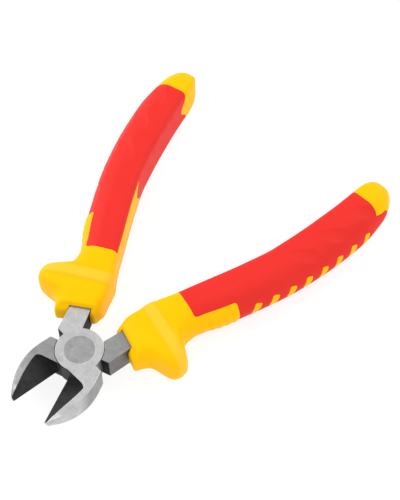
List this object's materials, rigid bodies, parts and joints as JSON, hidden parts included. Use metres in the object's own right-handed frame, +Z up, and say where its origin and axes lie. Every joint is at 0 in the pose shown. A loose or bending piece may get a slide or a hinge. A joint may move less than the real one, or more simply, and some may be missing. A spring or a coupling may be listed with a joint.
{
  "type": "diagonal cutting pliers",
  "caption": "Insulated diagonal cutting pliers: two forged halves on one flush rivet, bevelled cutting jaws, hard sleeves with hand guards and soft grips.",
  "frame": {"origin": "centre of the resting tool's bounding box, on the surface it lies on", "axes": "+Z up along the rivet axis; +Y along the line that halves the opening, from the jaws towards the handle ends; +X to the right when the tool is seen from above with its jaws towards the viewer"},
  "size_m": [0.1096, 0.1534, 0.017],
  "materials": {
    "ground_steel": "ground and lightly brushed, cutting bevels left dark",
    "satin_steel": "satin, cutting bevels left dark",
    "rivet_steel": "flush ground",
    "hard_insulation": "satin moulded",
    "soft_grip": "soft touch"
  },
  "bodies": {
    "right_handle": {"lower_half": "satin_steel", "pivot_rivet": "rivet_steel", "right_sleeve": "hard_insulation", "right_grip": "soft_grip"},
    "left_handle": {"upper_half": "ground_steel", "left_sleeve": "hard_insulation", "left_grip": "soft_grip"}
  },
  "joints": [
    {"name": "pivot", "type": "hinge", "parent": "right_handle", "child": "left_handle", "pos_m": [0, -0.04878, 0.0085], "axis": [0, 0, 1], "range_deg": [-28, 18]}
  ]
}
